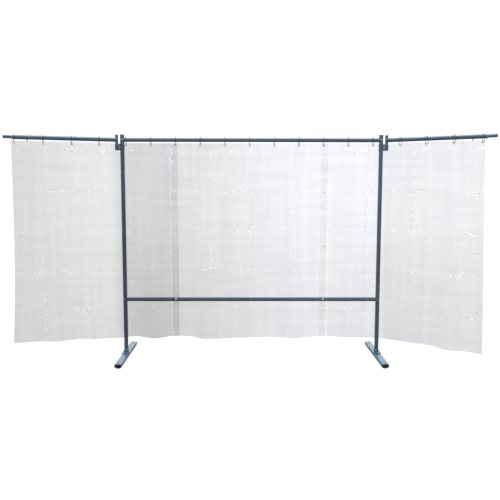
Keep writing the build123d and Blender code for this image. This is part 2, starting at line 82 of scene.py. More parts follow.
def linear(hex_colour):
    """An sRGB hex colour as the linear RGBA that shaders take."""
    parts = [int(hex_colour[i : i + 2], 16) / 255 for i in (1, 3, 5)]
    return [p / 12.92 if p <= 0.04045 else ((p + 0.055) / 1.055) ** 2.4 for p in parts] + [1.0]


def add(tree, kind, values=None, links=None, **settings):
    """Adds a shader node: its own settings, the values of its inputs and the links into them."""
    node = tree.nodes.new("ShaderNode" + kind)
    for name, setting in settings.items():
        setattr(node, name, setting)
    for name, value in (values or {}).items():
        node.inputs[name].default_value = value
    for name, socket in (links or {}).items():
        tree.links.new(socket, node.inputs[name])
    return node


def new_material(name):
    """An empty node material, its tree, and coordinates in the object's own metres."""
    material = bpy.data.materials.new(name)
    material.use_nodes = True
    tree = material.node_tree
    tree.nodes.clear()
    place = add(tree, "TexCoord").outputs["Object"]
    return material, tree, place


def waves_per_metre(size_mm):
    """A noise texture's scale for a grain of this size."""
    return 1000 / size_mm


# %% [markdown]
# ## Powder-coated steel tube
#
# The frame is steel tube with a gloss slate-blue powder coat. The powder melts in an oven and
# flows, so it is smooth and shiny with a faint orange-peel ripple, a few millimetres across.
# Where rings slide and hands grip, the gloss is scuffed. That gives the eye crisp highlights
# along the tubes that wobble a little, on a dark cool grey. A gloss layer over a darker base
# makes this: the coat of the Principled shader, with a noise bump for the peel.

# %% Powder coat
PEEL_MM = 4.0
SCUFF_MM = 55.0


def powder_coat(name, base, worn):
    """A gloss coat over a base colour that is scuffed in places."""
    material, tree, place = new_material(name)
    blotch = add(tree, "TexNoise", {"Scale": waves_per_metre(SCUFF_MM), "Detail": 6.0}, {"Vector": place})
    scuff = add(
        tree, "MapRange", {"From Min": 0.52, "From Max": 0.72}, {"Value": blotch.outputs["Fac"]}
    ).outputs["Result"]
    colour = add(
        tree, "Mix", {6: linear(base), 7: linear(worn)}, {0: scuff}, data_type="RGBA"
    ).outputs[2]
    roughness = add(
        tree, "MapRange", {"To Min": 0.3, "To Max": 0.48}, {"Value": scuff}
    ).outputs["Result"]
    peel = add(tree, "TexNoise", {"Scale": waves_per_metre(PEEL_MM), "Detail": 1.0}, {"Vector": place})
    bump = add(
        tree, "Bump", {"Strength": 0.12, "Distance": 0.4 * MM}, {"Height": peel.outputs["Fac"]}
    ).outputs["Normal"]
    shader = add(
        tree,
        "BsdfPrincipled",
        {"IOR": 1.5, "Coat Weight": 0.5, "Coat Roughness": 0.12},
        {"Base Color": colour, "Roughness": roughness, "Normal": bump},
    )
    add(tree, "OutputMaterial", links={"Surface": shader.outputs[0]})
    return material


frame_coat = powder_coat("slate_powder_coat", "#466072", "#526573")
print("powder coat: peel", PEEL_MM, "mm")

# %% [markdown]
# ## Zinc, nickel and bright wire
#
# Screws, bolts and hinge pins are zinc plated and passivated: a pale grey metal with a cloudy
# drift from bluish to straw. Rings are spring wire that was drawn after zinc plating, which
# leaves it smooth and dark. Eyelets are brass with a satin nickel plate, paler and rougher, so
# they show as light spots. One function makes all three, since each is a metal with two drifting
# tints and a grain, and only the sizes differ.

# %% Plated metals


def plated_metal(name, cool, warm, cloud_mm, grain_mm, smooth, rough):
    """A metal whose tint drifts between two colours, with a fine grain in its gloss."""
    material, tree, place = new_material(name)
    cloud = add(tree, "TexNoise", {"Scale": waves_per_metre(cloud_mm), "Detail": 4.0}, {"Vector": place})
    colour = add(
        tree, "Mix", {6: linear(cool), 7: linear(warm)}, {0: cloud.outputs["Fac"]}, data_type="RGBA"
    ).outputs[2]
    grain = add(tree, "TexNoise", {"Scale": waves_per_metre(grain_mm), "Detail": 2.0}, {"Vector": place})
    roughness = add(
        tree, "MapRange", {"To Min": smooth, "To Max": rough}, {"Value": grain.outputs["Fac"]}
    ).outputs["Result"]
    bump = add(
        tree, "Bump", {"Strength": 0.15, "Distance": 0.1 * MM}, {"Height": grain.outputs["Fac"]}
    ).outputs["Normal"]
    shader = add(
        tree,
        "BsdfPrincipled",
        {"Metallic": 1.0},
        {"Base Color": colour, "Roughness": roughness, "Normal": bump},
    )
    add(tree, "OutputMaterial", links={"Surface": shader.outputs[0]})
    return material


zinc = plated_metal(
    "passivated_zinc", "#b4bac2", "#c6c1ad", cloud_mm=9, grain_mm=0.8, smooth=0.22, rough=0.42
)
ring_wire = plated_metal(
    "drawn_zinc_wire", "#4b525a", "#66686a", cloud_mm=14, grain_mm=1.2, smooth=0.2, rough=0.36
)
nickel = plated_metal(
    "nickel_plated_brass", "#d9dadb", "#e4e1da", cloud_mm=12, grain_mm=0.6, smooth=0.42, rough=0.58
)
print("metals", [m.name for m in (zinc, ring_wire, nickel)])

# %% [markdown]
# ## Moulded plastics and rubber
#
# The caps and plugs are moulded black polyethylene with the fine spark texture of the mould.
# The pads under the feet are black rubber, matt and dusty. Bushes and washers are natural nylon,
# which is cream and lets a little light in. The press studs are white acetal, hard and glossy.
# All are a base colour that drifts a little, a roughness and a moulded grain.

# %% Plastics
DRIFT_MM = 30.0


def moulded(name, base, shade, grain_mm, relief, roughness, scatter=0.0):
    """A plastic or rubber whose colour drifts a little, with the grain of its mould."""
    material, tree, place = new_material(name)
    drift = add(tree, "TexNoise", {"Scale": waves_per_metre(DRIFT_MM), "Detail": 5.0}, {"Vector": place})
    colour = add(
        tree, "Mix", {6: linear(base), 7: linear(shade)}, {0: drift.outputs["Fac"]}, data_type="RGBA"
    ).outputs[2]
    grain = add(tree, "TexVoronoi", {"Scale": waves_per_metre(grain_mm)}, {"Vector": place})
    bump = add(
        tree, "Bump", {"Strength": relief, "Distance": 0.1 * MM}, {"Height": grain.outputs["Distance"]}
    ).outputs["Normal"]
    shader = add(
        tree,
        "BsdfPrincipled",
        {
            "Roughness": roughness,
            "IOR": 1.5,
            "Subsurface Weight": scatter,
            "Subsurface Scale": 2 * MM,
        },
        {"Base Color": colour, "Normal": bump},
    )
    add(tree, "OutputMaterial", links={"Surface": shader.outputs[0]})
    return material


polyethylene = moulded("black_polyethylene", "#16181b", "#24272b", grain_mm=0.9, relief=0.4, roughness=0.45)
rubber = moulded("black_rubber", "#1a1a1b", "#2e2d2b", grain_mm=1.5, relief=0.7, roughness=0.8)
nylon = moulded("natural_nylon", "#d8d3c2", "#c9c2ad", grain_mm=1.0, relief=0.2, roughness=0.4, scatter=0.3)
acetal = moulded("white_acetal", "#f4f5f3", "#e6e8e6", grain_mm=1.0, relief=0.05, roughness=0.2, scatter=0.2)
print("plastics", [m.name for m in (polyethylene, rubber, nylon, acetal)])

# %% [markdown]
# ## Finishing the CAD parts
#
# The CAD parts keep their shapes and only change material. Which finish a part gets follows from
# the material slot that the record gives it, so a new bolt or cap is finished without a new line.

# %% Assign the finishes
FINISHES = {
    "frame_paint": frame_coat,
    "black_plastic": polyethylene,
    "rubber": rubber,
    "zinc_steel": zinc,
    "nylon": nylon,
    "white_plastic": acetal,
}
for part in frame["record"]["subparts"]:
    finish = FINISHES.get(part["material_slot"])
    if finish:
        for slot in nodes[part["node"]].material_slots:
            slot.material = finish

# %% [markdown]
# ## Clear PVC film
#
# The sheets are clear soft PVC, calendered between rollers to half a millimetre. Most
# light goes straight through, a little greyed, some is mirrored by the gloss, and a trace is
# scattered by dust and fine creases. Glass would bend what is behind it and cast dark shadows,
# which thin film doesn't, so the film is three layers mixed: a grey Transparent shader, a
# scattering one, and a mirror whose share grows towards the edge of view, as on any gloss plastic.
# A Fresnel node would take each back face for the inside of a solid and mirror everything there,
# so the share is Schlick's rule on the Facing output, which is the same for both sides. The grey
# drifts in soft upright and level bands, from the rollers, and the bump has the fine crazing of
# film that was folded up in its packet.

# %% Film material
BAND_MM = 60.0
CRAZE_MM = 38.0
MIRROR_HEAD_ON = 0.044  # share of light that PVC mirrors when seen head on
SURROUND = 1.12  # brightness of the studio that is seen through the film
VIOLET = (1.0, 0.995, 1.022)  # the tint of the newer sheets, for each face that light goes through
HEM_SHADE_FROM_Z, HEM_SHADE_TO_Z = 0.2, 1.6  # painted shade, darker towards the hem: full near the hem and gone at shoulder height
HEM_SHADE, HEAD_SHADE = 0.892, 1.004
GLOSS = 0.14

# %% [markdown]
# Creases from folding show as short bright marks, level along the level folds and upright along the upright ones:
# painted glints, which raise the light let through the film, and which also lift its relief and its scatter.
# Beside them lie fainter grey ones, painted shade where the film is bent. Pingpong nodes give the distance to the
# nearest fold, and a stretched noise, cut off high and low, breaks the folds up into marks of both kinds. A
# broader noise leaves some stretches almost free of them, since no fold is pressed evenly.

# %% Fold marks
FIRST_FOLD, FOLD_SPACING = 0.070, 0.360  # level folds: how far below the top edge, and how far apart
FOLD_PITCH = 0.3625  # upright folds: the sheet's width folded in four
MARK_MM = 10.0
PATCH_MM = 260.0
MARK_FROM, MARK_FULL = 0.75, 0.81  # the noise that starts a mark, and the noise that makes it whole
middle_low, middle_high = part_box("middle_sheet")
SHEET_TOP, SHEET_FOOT = middle_high.z, middle_low.z


def fold_marks(tree, place, axis, first, spacing, reach, stretch, lift):
    """Painted glints and painted shade along the folds that cross an axis, each 0 to 1."""
    shifted = add(tree, "Math", {1: first}, {0: axis}, operation="SUBTRACT").outputs[0]
    folds = add(tree, "Math", {1: spacing}, {0: shifted}, operation="DIVIDE").outputs[0]
    apart = add(tree, "Math", {1: 0.5}, {0: folds}, operation="PINGPONG").outputs[0]
    near = add(
        tree,
        "MapRange",
        {"From Min": 0.0, "From Max": reach / spacing, "To Min": 1.0, "To Max": 0.0},
        {"Value": apart},
        interpolation_type="SMOOTHSTEP",
    ).outputs["Result"]
    patch = add(tree, "TexNoise", {"Scale": waves_per_metre(PATCH_MM), "Detail": 1.0}, {"Vector": place})
    worn = add(
        tree,
        "MapRange",
        {"From Min": 0.38, "From Max": 0.62, "To Min": 0.55, "To Max": 1.0},
        {"Value": patch.outputs["Fac"]},
    ).outputs["Result"]
    near = add(tree, "Math", links={0: near, 1: worn}, operation="MULTIPLY").outputs[0]
    drawn = add(tree, "Mapping", {"Scale": stretch}, {"Vector": place}).outputs["Vector"]
    grain = add(
        tree, "TexNoise", {"Scale": waves_per_metre(MARK_MM), "Detail": 2.0}, {"Vector": drawn}
    ).outputs["Fac"]
    raised = add(tree, "Math", {1: lift}, {0: near, 2: grain}, operation="MULTIPLY_ADD").outputs[0]
    sunk = add(tree, "Math", {1: -lift}, {0: near, 2: grain}, operation="MULTIPLY_ADD").outputs[0]
    # Painted glints where the noise runs high, painted shade where it runs low.
    glint_mark = add(tree, "MapRange", {"From Min": MARK_FROM, "From Max": MARK_FULL}, {"Value": raised})
    shade_mark = add(tree, "MapRange", {"From Min": 1 - MARK_FROM, "From Max": 1 - MARK_FULL}, {"Value": sunk})
    return glint_mark.outputs["Result"], shade_mark.outputs["Result"]


# %% [markdown]
# The film itself brings it all together. Passed lists, at places across the screen, the share of light that gets
# through, how violet the film is and how much painted shade darkens it towards the hem. The shares are partly the
# film's own grey and partly painted shade and painted reflection, darker on the left and lighter on the right. The
# shares jump where two sheets overlap, since the two would darken each other twice over.

# %% Clear film
def clear_film(name, passed, upright_from):
    """The film of one sheet, whose upright folds count from a place across the screen."""
    material, tree, place = new_material(name)
    axes = add(tree, "SeparateXYZ", links={"Vector": place}).outputs
    first, last = passed[0][0], passed[-1][0]
    across = add(tree, "MapRange", {"From Min": first, "From Max": last}, {"Value": axes["X"]})
    ramp = add(tree, "ValToRGB", links={0: across.outputs["Result"]})
    stops = ramp.color_ramp.elements
    # Painted shade and painted reflection ride in the shares too: they leave the film darker on the left and
    # lighter on the right.
    for number, (x, share, violet, hem_shade_share) in enumerate(passed):
        stop = stops[number] if number < 2 else stops.new(1.0)
        stop.position = (x - first) / (last - first)
        stop.color = [(share / SURROUND) ** 0.5 * (1 + violet * (v - 1)) for v in VIOLET] + [hem_shade_share]
    tall = add(tree, "Mapping", {"Scale": (1, 1, 0.06)}, {"Vector": place}).outputs["Vector"]
    bands = add(tree, "TexNoise", {"Scale": waves_per_metre(BAND_MM), "Detail": 4.0}, {"Vector": tall})
    long = add(tree, "Mapping", {"Scale": (0.12, 0.12, 1)}, {"Vector": place}).outputs["Vector"]
    rows = add(tree, "TexNoise", {"Scale": waves_per_metre(BAND_MM), "Detail": 5.0}, {"Vector": long})
    both = add(tree, "Math", links={0: bands.outputs["Fac"], 1: rows.outputs["Fac"]}, operation="ADD")
    streak = add(
        tree,
        "MapRange",
        {"From Min": 0.7, "From Max": 1.3, "To Min": 0.972, "To Max": 1.022},
        {"Value": both.outputs[0]},
    ).outputs["Result"]
    # Painted shade: the film lets less light through towards the hem, as much as each row's last value says.
    low = add(
        tree,
        "MapRange",
        {"From Min": HEM_SHADE_FROM_Z, "From Max": HEM_SHADE_TO_Z, "To Min": HEM_SHADE, "To Max": HEAD_SHADE},
        {"Value": axes["Z"]},
        interpolation_type="SMOOTHSTEP",
    ).outputs["Result"]
    low = add(tree, "Mix", {2: 1.0}, {0: ramp.outputs["Alpha"], 3: low}, data_type="FLOAT").outputs[0]
    level = fold_marks(
        tree, place, axes["Z"], SHEET_TOP - FIRST_FOLD, FOLD_SPACING,
        reach=0.06, stretch=(0.35, 0.35, 1), lift=0.191,
    )
    upright = fold_marks(
        tree, place, axes["X"], upright_from, FOLD_PITCH, reach=0.04, stretch=(1, 1, 0.3), lift=0.181
    )
    glints_and_creases = add(tree, "Math", links={0: level[0], 1: upright[0]}, operation="MAXIMUM").outputs[0]
    painted_crease_shade = add(tree, "Math", links={0: level[1], 1: upright[1]}, operation="MAXIMUM").outputs[0]
    # Painted glints and painted shade: the light let through rises along the bright marks and falls beside them.
    lit = add(tree, "Math", {1: 0.13, 2: 1.0}, {0: glints_and_creases}, operation="MULTIPLY_ADD").outputs[0]
    lit = add(tree, "Math", {1: -0.05}, {0: painted_crease_shade, 2: lit}, operation="MULTIPLY_ADD").outputs[0]
    shade = add(tree, "Math", links={0: streak, 1: low}, operation="MULTIPLY").outputs[0]
    shade = add(tree, "Math", links={0: shade, 1: lit}, operation="MULTIPLY").outputs[0]
    tint = add(
        tree, "VectorMath", links={0: ramp.outputs["Color"], 1: shade}, operation="MULTIPLY"
    ).outputs[0]
    craze = add(
        tree,
        "TexNoise",
        {"Scale": waves_per_metre(CRAZE_MM), "Detail": 5.0, "Roughness": 0.6},
        {"Vector": long},
    ).outputs["Fac"]
    relief = add(tree, "Math", {1: 0.5}, {0: glints_and_creases, 2: craze}, operation="MULTIPLY_ADD").outputs[0]
    bump = add(tree, "Bump", {"Strength": 0.5, "Distance": 2.0 * MM}, {"Height": relief}).outputs["Normal"]
    clear = add(tree, "BsdfTransparent", links={"Color": tint})
    dust = add(tree, "BsdfDiffuse", {"Color": linear("#e8ebee")}, {"Normal": bump})
    glow = add(tree, "BsdfTranslucent", {"Color": linear("#e8ebee")}, {"Normal": bump})
    scattered = add(tree, "MixShader", {0: 0.5}, {1: dust.outputs[0], 2: glow.outputs[0]})
    milky = add(tree, "Math", {1: 0.06, 2: 0.015}, {0: glints_and_creases}, operation="MULTIPLY_ADD").outputs[0]
    body = add(tree, "MixShader", links={0: milky, 1: clear.outputs[0], 2: scattered.outputs[0]})
    mirror = add(tree, "BsdfAnisotropic", {"Color": linear("#ffffff"), "Roughness": GLOSS}, {"Normal": bump})
    facing = add(tree, "LayerWeight", {"Blend": 0.5}, {"Normal": bump}).outputs["Facing"]
    grazing = add(tree, "Math", {1: 5.0}, {0: facing}, operation="POWER").outputs[0]
    share = add(
        tree, "Math", {1: 1 - MIRROR_HEAD_ON, 2: MIRROR_HEAD_ON}, {0: grazing}, operation="MULTIPLY_ADD"
    ).outputs[0]
    shader = add(tree, "MixShader", links={0: share, 1: body.outputs[0], 2: mirror.outputs[0]})
    add(tree, "OutputMaterial", links={"Surface": shader.outputs[0]})
    return material


middle_film = clear_film(
    "clear_pvc_middle",
    (
        (-0.74, 1.05, 0.2, 0.4), (-0.672, 1.05, 0.2, 0.4), (-0.668, 0.81, 0, 0.74), (-0.2, 0.875, 0.3, 0.72),
        (0.15, 0.95, 0.6, 0.72), (0.627, 0.985, 0.8, 0.56), (0.631, 1.085, 0.1, 0.1), (0.70, 1.085, 0.1, 0.1),
    ),
    upright_from=-0.733,
)
left_film = clear_film(
    "clear_pvc_left",
    (
        (-2.10, 0.725, 0, 0.28), (-1.60, 0.84, 0, 0.68), (-1.28, 0.87, 0, 0.52), (-1.16, 0.715, 0, 0.86),
        (-0.75, 0.715, 0, 0.86), (-0.735, 0.80, 0.5, 0.95), (-0.66, 0.80, 0.5, 0.95),
    ),
    upright_from=-0.745,
)
right_film = clear_film(
    "clear_pvc_right",
    (
        (0.62, 1.035, 0.2, 0.54), (0.70, 1.035, 0.2, 0.54), (0.71, 0.985, 0.7, 0.78),
        (1.16, 0.985, 0.7, 0.78), (1.24, 0.905, 0.4, 0.88), (1.60, 0.92, 0.4, 0.76), (2.02, 0.93, 0.4, 0.74),
    ),
    upright_from=0.70,
)
print("film", [m.name for m in (middle_film, left_film, right_film)])

# %% [markdown]
# ## Where things hang
#
# Each sheet hangs on a line: the middle one along the top tube, and each outer one along the
# frame, round the hinge and along its arm. The CAD model says where its rings, eyelets and studs
# are. Reading them back from its meshes keeps the film and its holes in step with the rings.
# Pieces of one node lie well apart, so a gap in the run along the line tells them apart.

# %% Read the hanging lines
SIDES = {"left": -1, "right": 1}
FRAME_START = Vector((0, 0, 0))
FRAME_ALONG = Vector((1, 0, 0))


def runs_of(node, start, along, gap=20 * MM):
    """The runs along a line at which a CAD node has its separate pieces."""
    spots = sorted((v.co - start).dot(along) for v in nodes[node].data.vertices)
    groups = [[spots[0]]]
    for spot in spots[1:]:
        if spot - groups[-1][-1] > gap:
            groups.append([])
        groups[-1].append(spot)
    return [(group[0] + group[-1]) / 2 for group in groups]


def reach_of(node, start, along):
    """The farthest run along a line that a CAD node reaches."""
    return max((v.co - start).dot(along) for v in nodes[node].data.vertices)


pivots = {side: Vector(joints[f"{side}_arm_swing"]["pos_m"]) for side in SIDES}
alongs = {side: Vector(joints[f"{side}_end_pull"]["axis"]).normalized() for side in SIDES}
SHEET_DROP = SHEET_TOP - SHEET_FOOT
MIDDLE_Y = (middle_low.y + middle_high.y) / 2
outer_low, outer_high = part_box("left_sheet_on_frame")
OUTER_Y = (outer_low.y + outer_high.y) / 2
eyelet_low, eyelet_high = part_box("frame_eyelets")
EYELET_Z = (eyelet_low.z + eyelet_high.z) / 2
frame_runs = runs_of("frame_rings", FRAME_START, FRAME_ALONG)
arm_runs = {side: runs_of(f"{side}_arm_rings", pivots[side], alongs[side]) for side in SIDES}
print("rings on the frame at", [round(r, 3) for r in frame_runs])
print("rings on the arms at", {s: [round(r, 3) for r in runs] for s, runs in arm_runs.items()})

# %% [markdown]
# ## How the film falls
#
# Film has no stretch and little weight. Pinned at its eyelets, it bulges a few millimetres between them, and the
# slack gathers in long upright swells that open towards the hem. The hem rises and dips with them. A cloth
# simulation could find such a shape, but not the one wanted here, and soft film needs a very fine mesh to keep its
# sharp folds. So the fall is drawn: a short list of swells for each stretch, each with its place, half width and
# depth at the hem in metres, and a short outline of the hem's rise.
#
# Frame and arms have lists of their own, which fade into each other round the hinge. Two sheets
# that overlap read the same list, so they never cut through each other.

# %% Swells and hem
FRAME_SWELLS = ((-0.90, 0.15, 0.026), (-0.40, 0.24, 0.034), (0.39, 0.12, 0.024), (0.86, 0.10, 0.012))
FRAME_HEM = (
    (-1.20, 0.010), (-1.10, 0.023), (-0.90, 0.007), (-0.71, 0.025), (-0.59, 0.022), (-0.43, 0.003),
    (-0.20, 0.004), (0.15, 0.014), (0.39, 0.006), (0.67, 0.022), (0.92, 0.012), (1.20, 0.006),
)
ARM_SWELLS = {
    "left": ((0.22, 0.12, 0.014), (0.54, 0.14, 0.022), (0.82, 0.10, 0.010)),
    "right": ((0.30, 0.13, 0.010), (0.60, 0.16, 0.045), (0.84, 0.08, 0.016)),
}
ARM_HEM = {
    "left": ((0.0, 0.007), (0.20, 0.018), (0.37, 0.028), (0.52, 0.028), (0.73, 0.040), (0.93, 0.044)),
    "right": ((0.0, 0.000), (0.30, 0.003), (0.40, 0.004), (0.56, -0.006), (0.88, -0.004)),
}
ARM_FLARE = {"left": (0.040, 3.0), "right": (0.048, 1.2)}  # how far the outer hem corner drifts out


def ease(t):
    """A smooth step from 0 to 1."""
    t = min(max(t, 0.0), 1.0)
    return t * t * (3 - 2 * t)


def through(points, at):
    """A smooth line through given points."""
    if at <= points[0][0]:
        return points[0][1]
    for (x0, y0), (x1, y1) in zip(points, points[1:]):
        if at <= x1:
            return y0 + (y1 - y0) * ease((at - x0) / (x1 - x0))
    return points[-1][1]


def swell(swells, at, drop):
    """How far the film stands forward at a place along its line, so far below its top."""
    opened = (drop / SHEET_DROP) ** 0.9
    forward = 0.0
    for place, half_width, depth in swells:
        distance = abs(at - place) / half_width
        if distance < 1:
            forward += depth * (1 + cos(pi * distance)) / 2
    return forward * opened


def bulge(runs, at, drop, depth=5 * MM, fade=0.25):
    """The small bulge between two eyelets, which dies away below them."""
    below = [run for run in runs if run <= at]
    above = [run for run in runs if run > at]
    if not below or not above:
        return 0.0
    start, end = max(below), min(above)
    return depth * sin(pi * (at - start) / (end - start)) ** 2 * exp(-drop / fade)


print("swells", len(FRAME_SWELLS), "on the frame and", [len(s) for s in ARM_SWELLS.values()], "on the arms")

# %% [markdown]
# ## Creases from the packet
#
# The film was folded into a packet about a third of a metre tall, and the folds stay in it.
# They show as broken level lines with small glints, and fainter upright ones. Each is a low
# ridge, a few millimetres wide, that noise fades in and out. Between them the film is crinkled
# by fractions of a millimetre. This is real geometry, so the glints move with the light.

# %% Creases
FOLD_DROPS = [FIRST_FOLD + n * FOLD_SPACING for n in range(5)]
RIDGE_HEIGHT = 1.9 * MM
RIDGE_HALF_WIDTH = 4.5 * MM
UPRIGHT_SHARE = 0.3  # height of the upright folds, as a share of the level ones
CRINKLE = 0.9 * MM


def crease(across, drop, seed):
    """The relief of folds and crinkles at a place on the sheet."""
    relief = 0.0
    for number, fold in enumerate(FOLD_DROPS):
        wander = 4 * MM * noise.noise(Vector((across * 7, number * 5.0, seed)))
        distance = (drop - fold - wander) / RIDGE_HALF_WIDTH
        if abs(distance) < 3:
            strength = ease(0.5 + 2.2 * noise.noise(Vector((across * 13, number * 3.1, seed + 9))))
            relief += RIDGE_HEIGHT * strength * exp(-distance * distance)
    upright = round(across / FOLD_PITCH) * FOLD_PITCH
    distance = (across - upright) / RIDGE_HALF_WIDTH
    if 0 < upright and abs(distance) < 3:
        strength = ease(0.4 + 2.0 * noise.noise(Vector((upright * 9, drop * 5, seed + 21))))
        relief += UPRIGHT_SHARE * RIDGE_HEIGHT * strength * exp(-distance * distance)
    rumple = noise.fractal(Vector((across * 9, drop * 14, seed + 40)), 0.8, 2.0, 4)
    return relief + CRINKLE * rumple


# %% [markdown]
# ## One sheet as a mesh
#
# A sheet is a grid: upright lines along its width and level lines down its drop. Even lines
# every 13 mm carry the swells. Extra ones go where there is detail: either side of a fold, so
# that its ridge is round, and round each eyelet, where four cells are taken out and their
# corners drawn in to make an eight-sided hole. A Solidify modifier then gives the film its real
# thickness, so that it is a closed body and not a bare surface.

# %% Build a sheet
GRID_STEP = 13 * MM
HOLE_R = 7 * MM
FOLD_CLEARANCE = 25 * MM  # a fold that comes nearer to an eyelet gets no lines of its own
FILM_THICK = 0.5 * MM


def grid_lines(start, end, extra):
    """Even lines with extra ones for detail, where an even line near an extra one gives way."""
    count = round((end - start) / GRID_STEP)
    even = [start + (end - start) * i / count for i in range(1, count)]
    inside = [x for x in extra if start < x < end]
    kept = [x for x in even if all(abs(x - y) > 0.4 * GRID_STEP for y in inside)]
    return [start, *sorted(kept + inside), end]


def around(places, offsets):
    """Every place with every offset added to it."""
    return [place + offset for place in places for offset in offsets]


def film_mesh(name, width, eyelets, point):
    """A sheet of film: point gives the place in space for a distance across and a drop."""
    eyelet_drop = SHEET_TOP - EYELET_Z
    hole = (-HOLE_R, 0, HOLE_R)
    ridge = [n * RIDGE_HALF_WIDTH for n in (-2, -1, 0, 1, 2)]
    folds = [n * FOLD_PITCH for n in range(1, int(width / FOLD_PITCH) + 1)]
    clear_folds = [f for f in folds if all(abs(f - e) > FOLD_CLEARANCE for e in eyelets)]
    across_lines = grid_lines(0, width, around(eyelets, hole) + around(clear_folds, ridge))
    drop_lines = grid_lines(0, SHEET_DROP, around([eyelet_drop], hole) + around(FOLD_DROPS, ridge))
    mesh = bmesh.new()
    rows = []
    for drop in drop_lines:
        row = []
        for across in across_lines:
            at, down = across, drop
            for eyelet in eyelets:
                aside, below = across - eyelet, drop - eyelet_drop
                if abs(abs(aside) - HOLE_R) < 1e-6 and abs(abs(below) - HOLE_R) < 1e-6:
                    at, down = eyelet + aside * cos(pi / 4), eyelet_drop + below * sin(pi / 4)
            row.append(mesh.verts.new(point(at, down)))
        rows.append(row)
    for upper, lower, top, foot in zip(rows, rows[1:], drop_lines, drop_lines[1:]):
        for i, (left, right) in enumerate(zip(across_lines, across_lines[1:])):
            middle = Vector(((left + right) / 2, (top + foot) / 2))
            if all((middle - Vector((e, eyelet_drop))).length > HOLE_R * 0.9 for e in eyelets):
                mesh.faces.new((upper[i], lower[i], lower[i + 1], upper[i + 1]))
    for edge in mesh.edges:
        edge.smooth = not edge.is_boundary
    loose = [v for v in mesh.verts if not v.link_faces]
    bmesh.ops.delete(mesh, geom=loose, context="VERTS")
    data = bpy.data.meshes.new(name)
    mesh.to_mesh(data)
    mesh.free()
    data.shade_smooth()
    piece = bpy.data.objects.new(name, data)
    bpy.context.scene.collection.objects.link(piece)
    wall = piece.modifiers.new("film_thickness", "SOLIDIFY")
    wall.thickness = FILM_THICK
    wall.offset = 0
    print(name, "film", round(width, 3), "m wide,", len(data.polygons), "faces")
    return piece


# %% [markdown]
# ## The middle sheet
#
# It hangs along the top tube, so its line is straight. The pieces of geometry above come
# together in one function that turns a place on the flat sheet into a place in space.

# %% Middle sheet
MIDDLE_LEFT, MIDDLE_RIGHT = middle_low.x, middle_high.x
middle_eyelets = [run for run in frame_runs if MIDDLE_LEFT < run < MIDDLE_RIGHT]


def frame_fall(x, drop):
    """How far film before the frame stands forward, and how far its hem has risen."""
    forward = swell(FRAME_SWELLS, x, drop) + bulge(frame_runs, x, drop)
    return forward, through(FRAME_HEM, x) * (drop / SHEET_DROP) ** 2


def middle_point(across, drop):
    """A place on the middle sheet."""
    x = MIDDLE_LEFT + across
    forward, rise = frame_fall(x, drop)
    relief = crease(across, drop, seed=1.0)
    return Vector((x, MIDDLE_Y - forward - relief, SHEET_TOP - drop + rise))


middle_sheet = film_mesh(
    "middle_film", MIDDLE_RIGHT - MIDDLE_LEFT, [run - MIDDLE_LEFT for run in middle_eyelets], middle_point
)
middle_sheet.data.materials.append(middle_film)
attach(middle_sheet, "frame")
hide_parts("middle_sheet")

# %% [markdown]
# ## The outer sheets
#
# Each outer sheet is one piece of film that crosses a hinge. In plan its line is straight before the post, turns
# in an arc in front of the hinge, and is straight before the arm. CAD has it as two stiff plates with a gap, and
# this one sheet stands for both. When the arm swings, the sheet has to bend there; here it is built only as it
# hangs at rest, and rides on neither body.

# %% Outer sheets
BEND_R = 0.20


class OuterLine:
    """The line in plan that an outer sheet hangs on, from its inner edge to its outer one."""

    def __init__(self, side):
        self.out = SIDES[side]
        low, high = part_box(f"{side}_sheet_on_frame")
        self.inner = high.x if self.out < 0 else low.x
        self.pivot, self.along = pivots[side], alongs[side]
        self.turn = asin(-self.along.y)
        self.front = abs(OUTER_Y)
        cut = self.front * tan(self.turn / 2)
        tangent = BEND_R * tan(self.turn / 2)
        self.straight = abs(self.pivot.x - self.inner) - cut - tangent
        self.arc = BEND_R * self.turn
        self.arm_start = cut + tangent
        self.edge = reach_of(f"{side}_sheet_on_arm", self.pivot, self.along)
        self.width = self.straight + self.arc + self.edge - self.arm_start

    def at(self, across):
        """The point on the line and the way its front faces."""
        angle = min(max((across - self.straight) / BEND_R, 0.0), self.turn)
        x = self.inner + self.out * min(across, self.straight)
        centre = Vector((x, -self.front - BEND_R, 0))
        point = centre + BEND_R * Vector((self.out * sin(angle), cos(angle), 0))
        point += self.along * max(across - self.straight - self.arc, 0.0)
        return point, Vector((-self.out * sin(angle), -cos(angle), 0))

    def across_of_x(self, x):
        """How far across the sheet a place along the frame is."""
        return abs(x - self.inner)

    def across_of_run(self, run):
        """How far across the sheet a place along the arm is."""
        return self.straight + self.arc + run - self.arm_start


lines = {side: OuterLine(side) for side in SIDES}
outer_eyelets = {}
for side, line in lines.items():
    on_frame = [line.across_of_x(x) for x in frame_runs if (x - line.inner) * line.out > 0]
    on_arm = [line.across_of_run(run) for run in arm_runs[side]]
    outer_eyelets[side] = sorted(on_frame + on_arm)
    print(side, "line", round(line.width, 3), "m, eyelets", [round(e, 3) for e in outer_eyelets[side]])


def outer_point(side, across, drop):
    """A place on an outer sheet, where the frame's swells give way to the arm's."""
    line = lines[side]
    base, facing = line.at(across)
    run = across - line.across_of_run(0)
    share = ease((run + 0.08) / 0.18)
    forward, rise = frame_fall(line.inner + line.out * min(across, line.straight), drop)
    arm_forward = swell(ARM_SWELLS[side], run, drop) + bulge(arm_runs[side], run, drop)
    arm_rise = through(ARM_HEM[side], run) * (drop / SHEET_DROP) ** 2
    forward += (arm_forward - forward) * share
    rise += (arm_rise - rise) * share
    flare, growth = ARM_FLARE[side]
    drift = flare * max(run, 0) / line.edge * (drop / SHEET_DROP) ** growth
    forward += crease(across, drop, seed=20.0 + 20 * line.out)
    place = base + facing * forward + line.along * drift
    place.z = SHEET_TOP - drop + rise
    return place


